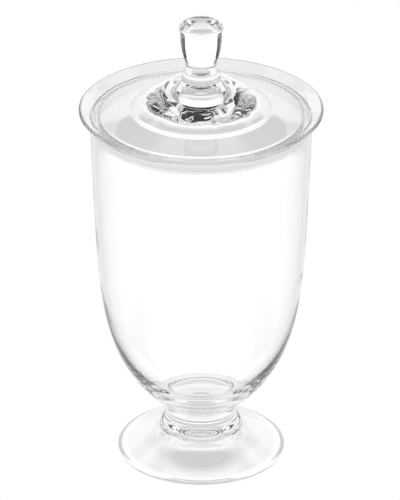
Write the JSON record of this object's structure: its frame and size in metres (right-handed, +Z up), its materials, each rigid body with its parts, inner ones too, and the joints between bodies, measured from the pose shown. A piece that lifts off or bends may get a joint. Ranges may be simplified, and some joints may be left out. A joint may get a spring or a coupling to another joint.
{
  "type": "footed apothecary jar",
  "caption": "Tall clear glass jar on a short stem and round foot, with a flared mouth and a lift-off domed glass lid with a knob.",
  "frame": {"origin": "centre of the foot's resting ring, on the surface the jar stands on", "axes": "+Z up along the jar's axis of rotation, the way the lid lifts; X and Y are level and equivalent"},
  "size_m": [0.1788, 0.1788, 0.3514],
  "materials": {
    "foot_glass": "clear polished pressed glass",
    "stem_glass": "clear polished glass, thick and lens-like",
    "bowl_glass": "clear blown glass with a fire-polished lip",
    "lid_glass": "clear glass with faint hand-made waves",
    "collar_glass": "clear polished glass ring",
    "knob_glass": "clear polished solid glass"
  },
  "bodies": {
    "jar": {"foot": "foot_glass", "stem_knop": "stem_glass", "bowl": "bowl_glass"},
    "lid": {"lid_cover": "lid_glass", "lid_collar": "collar_glass", "lid_knob": "knob_glass"}
  },
  "joints": [
    {"name": "lid_lift", "type": "slide", "parent": "jar", "child": "lid", "axis": [0, 0, 1], "range_m": [0, 0.1]}
  ]
}
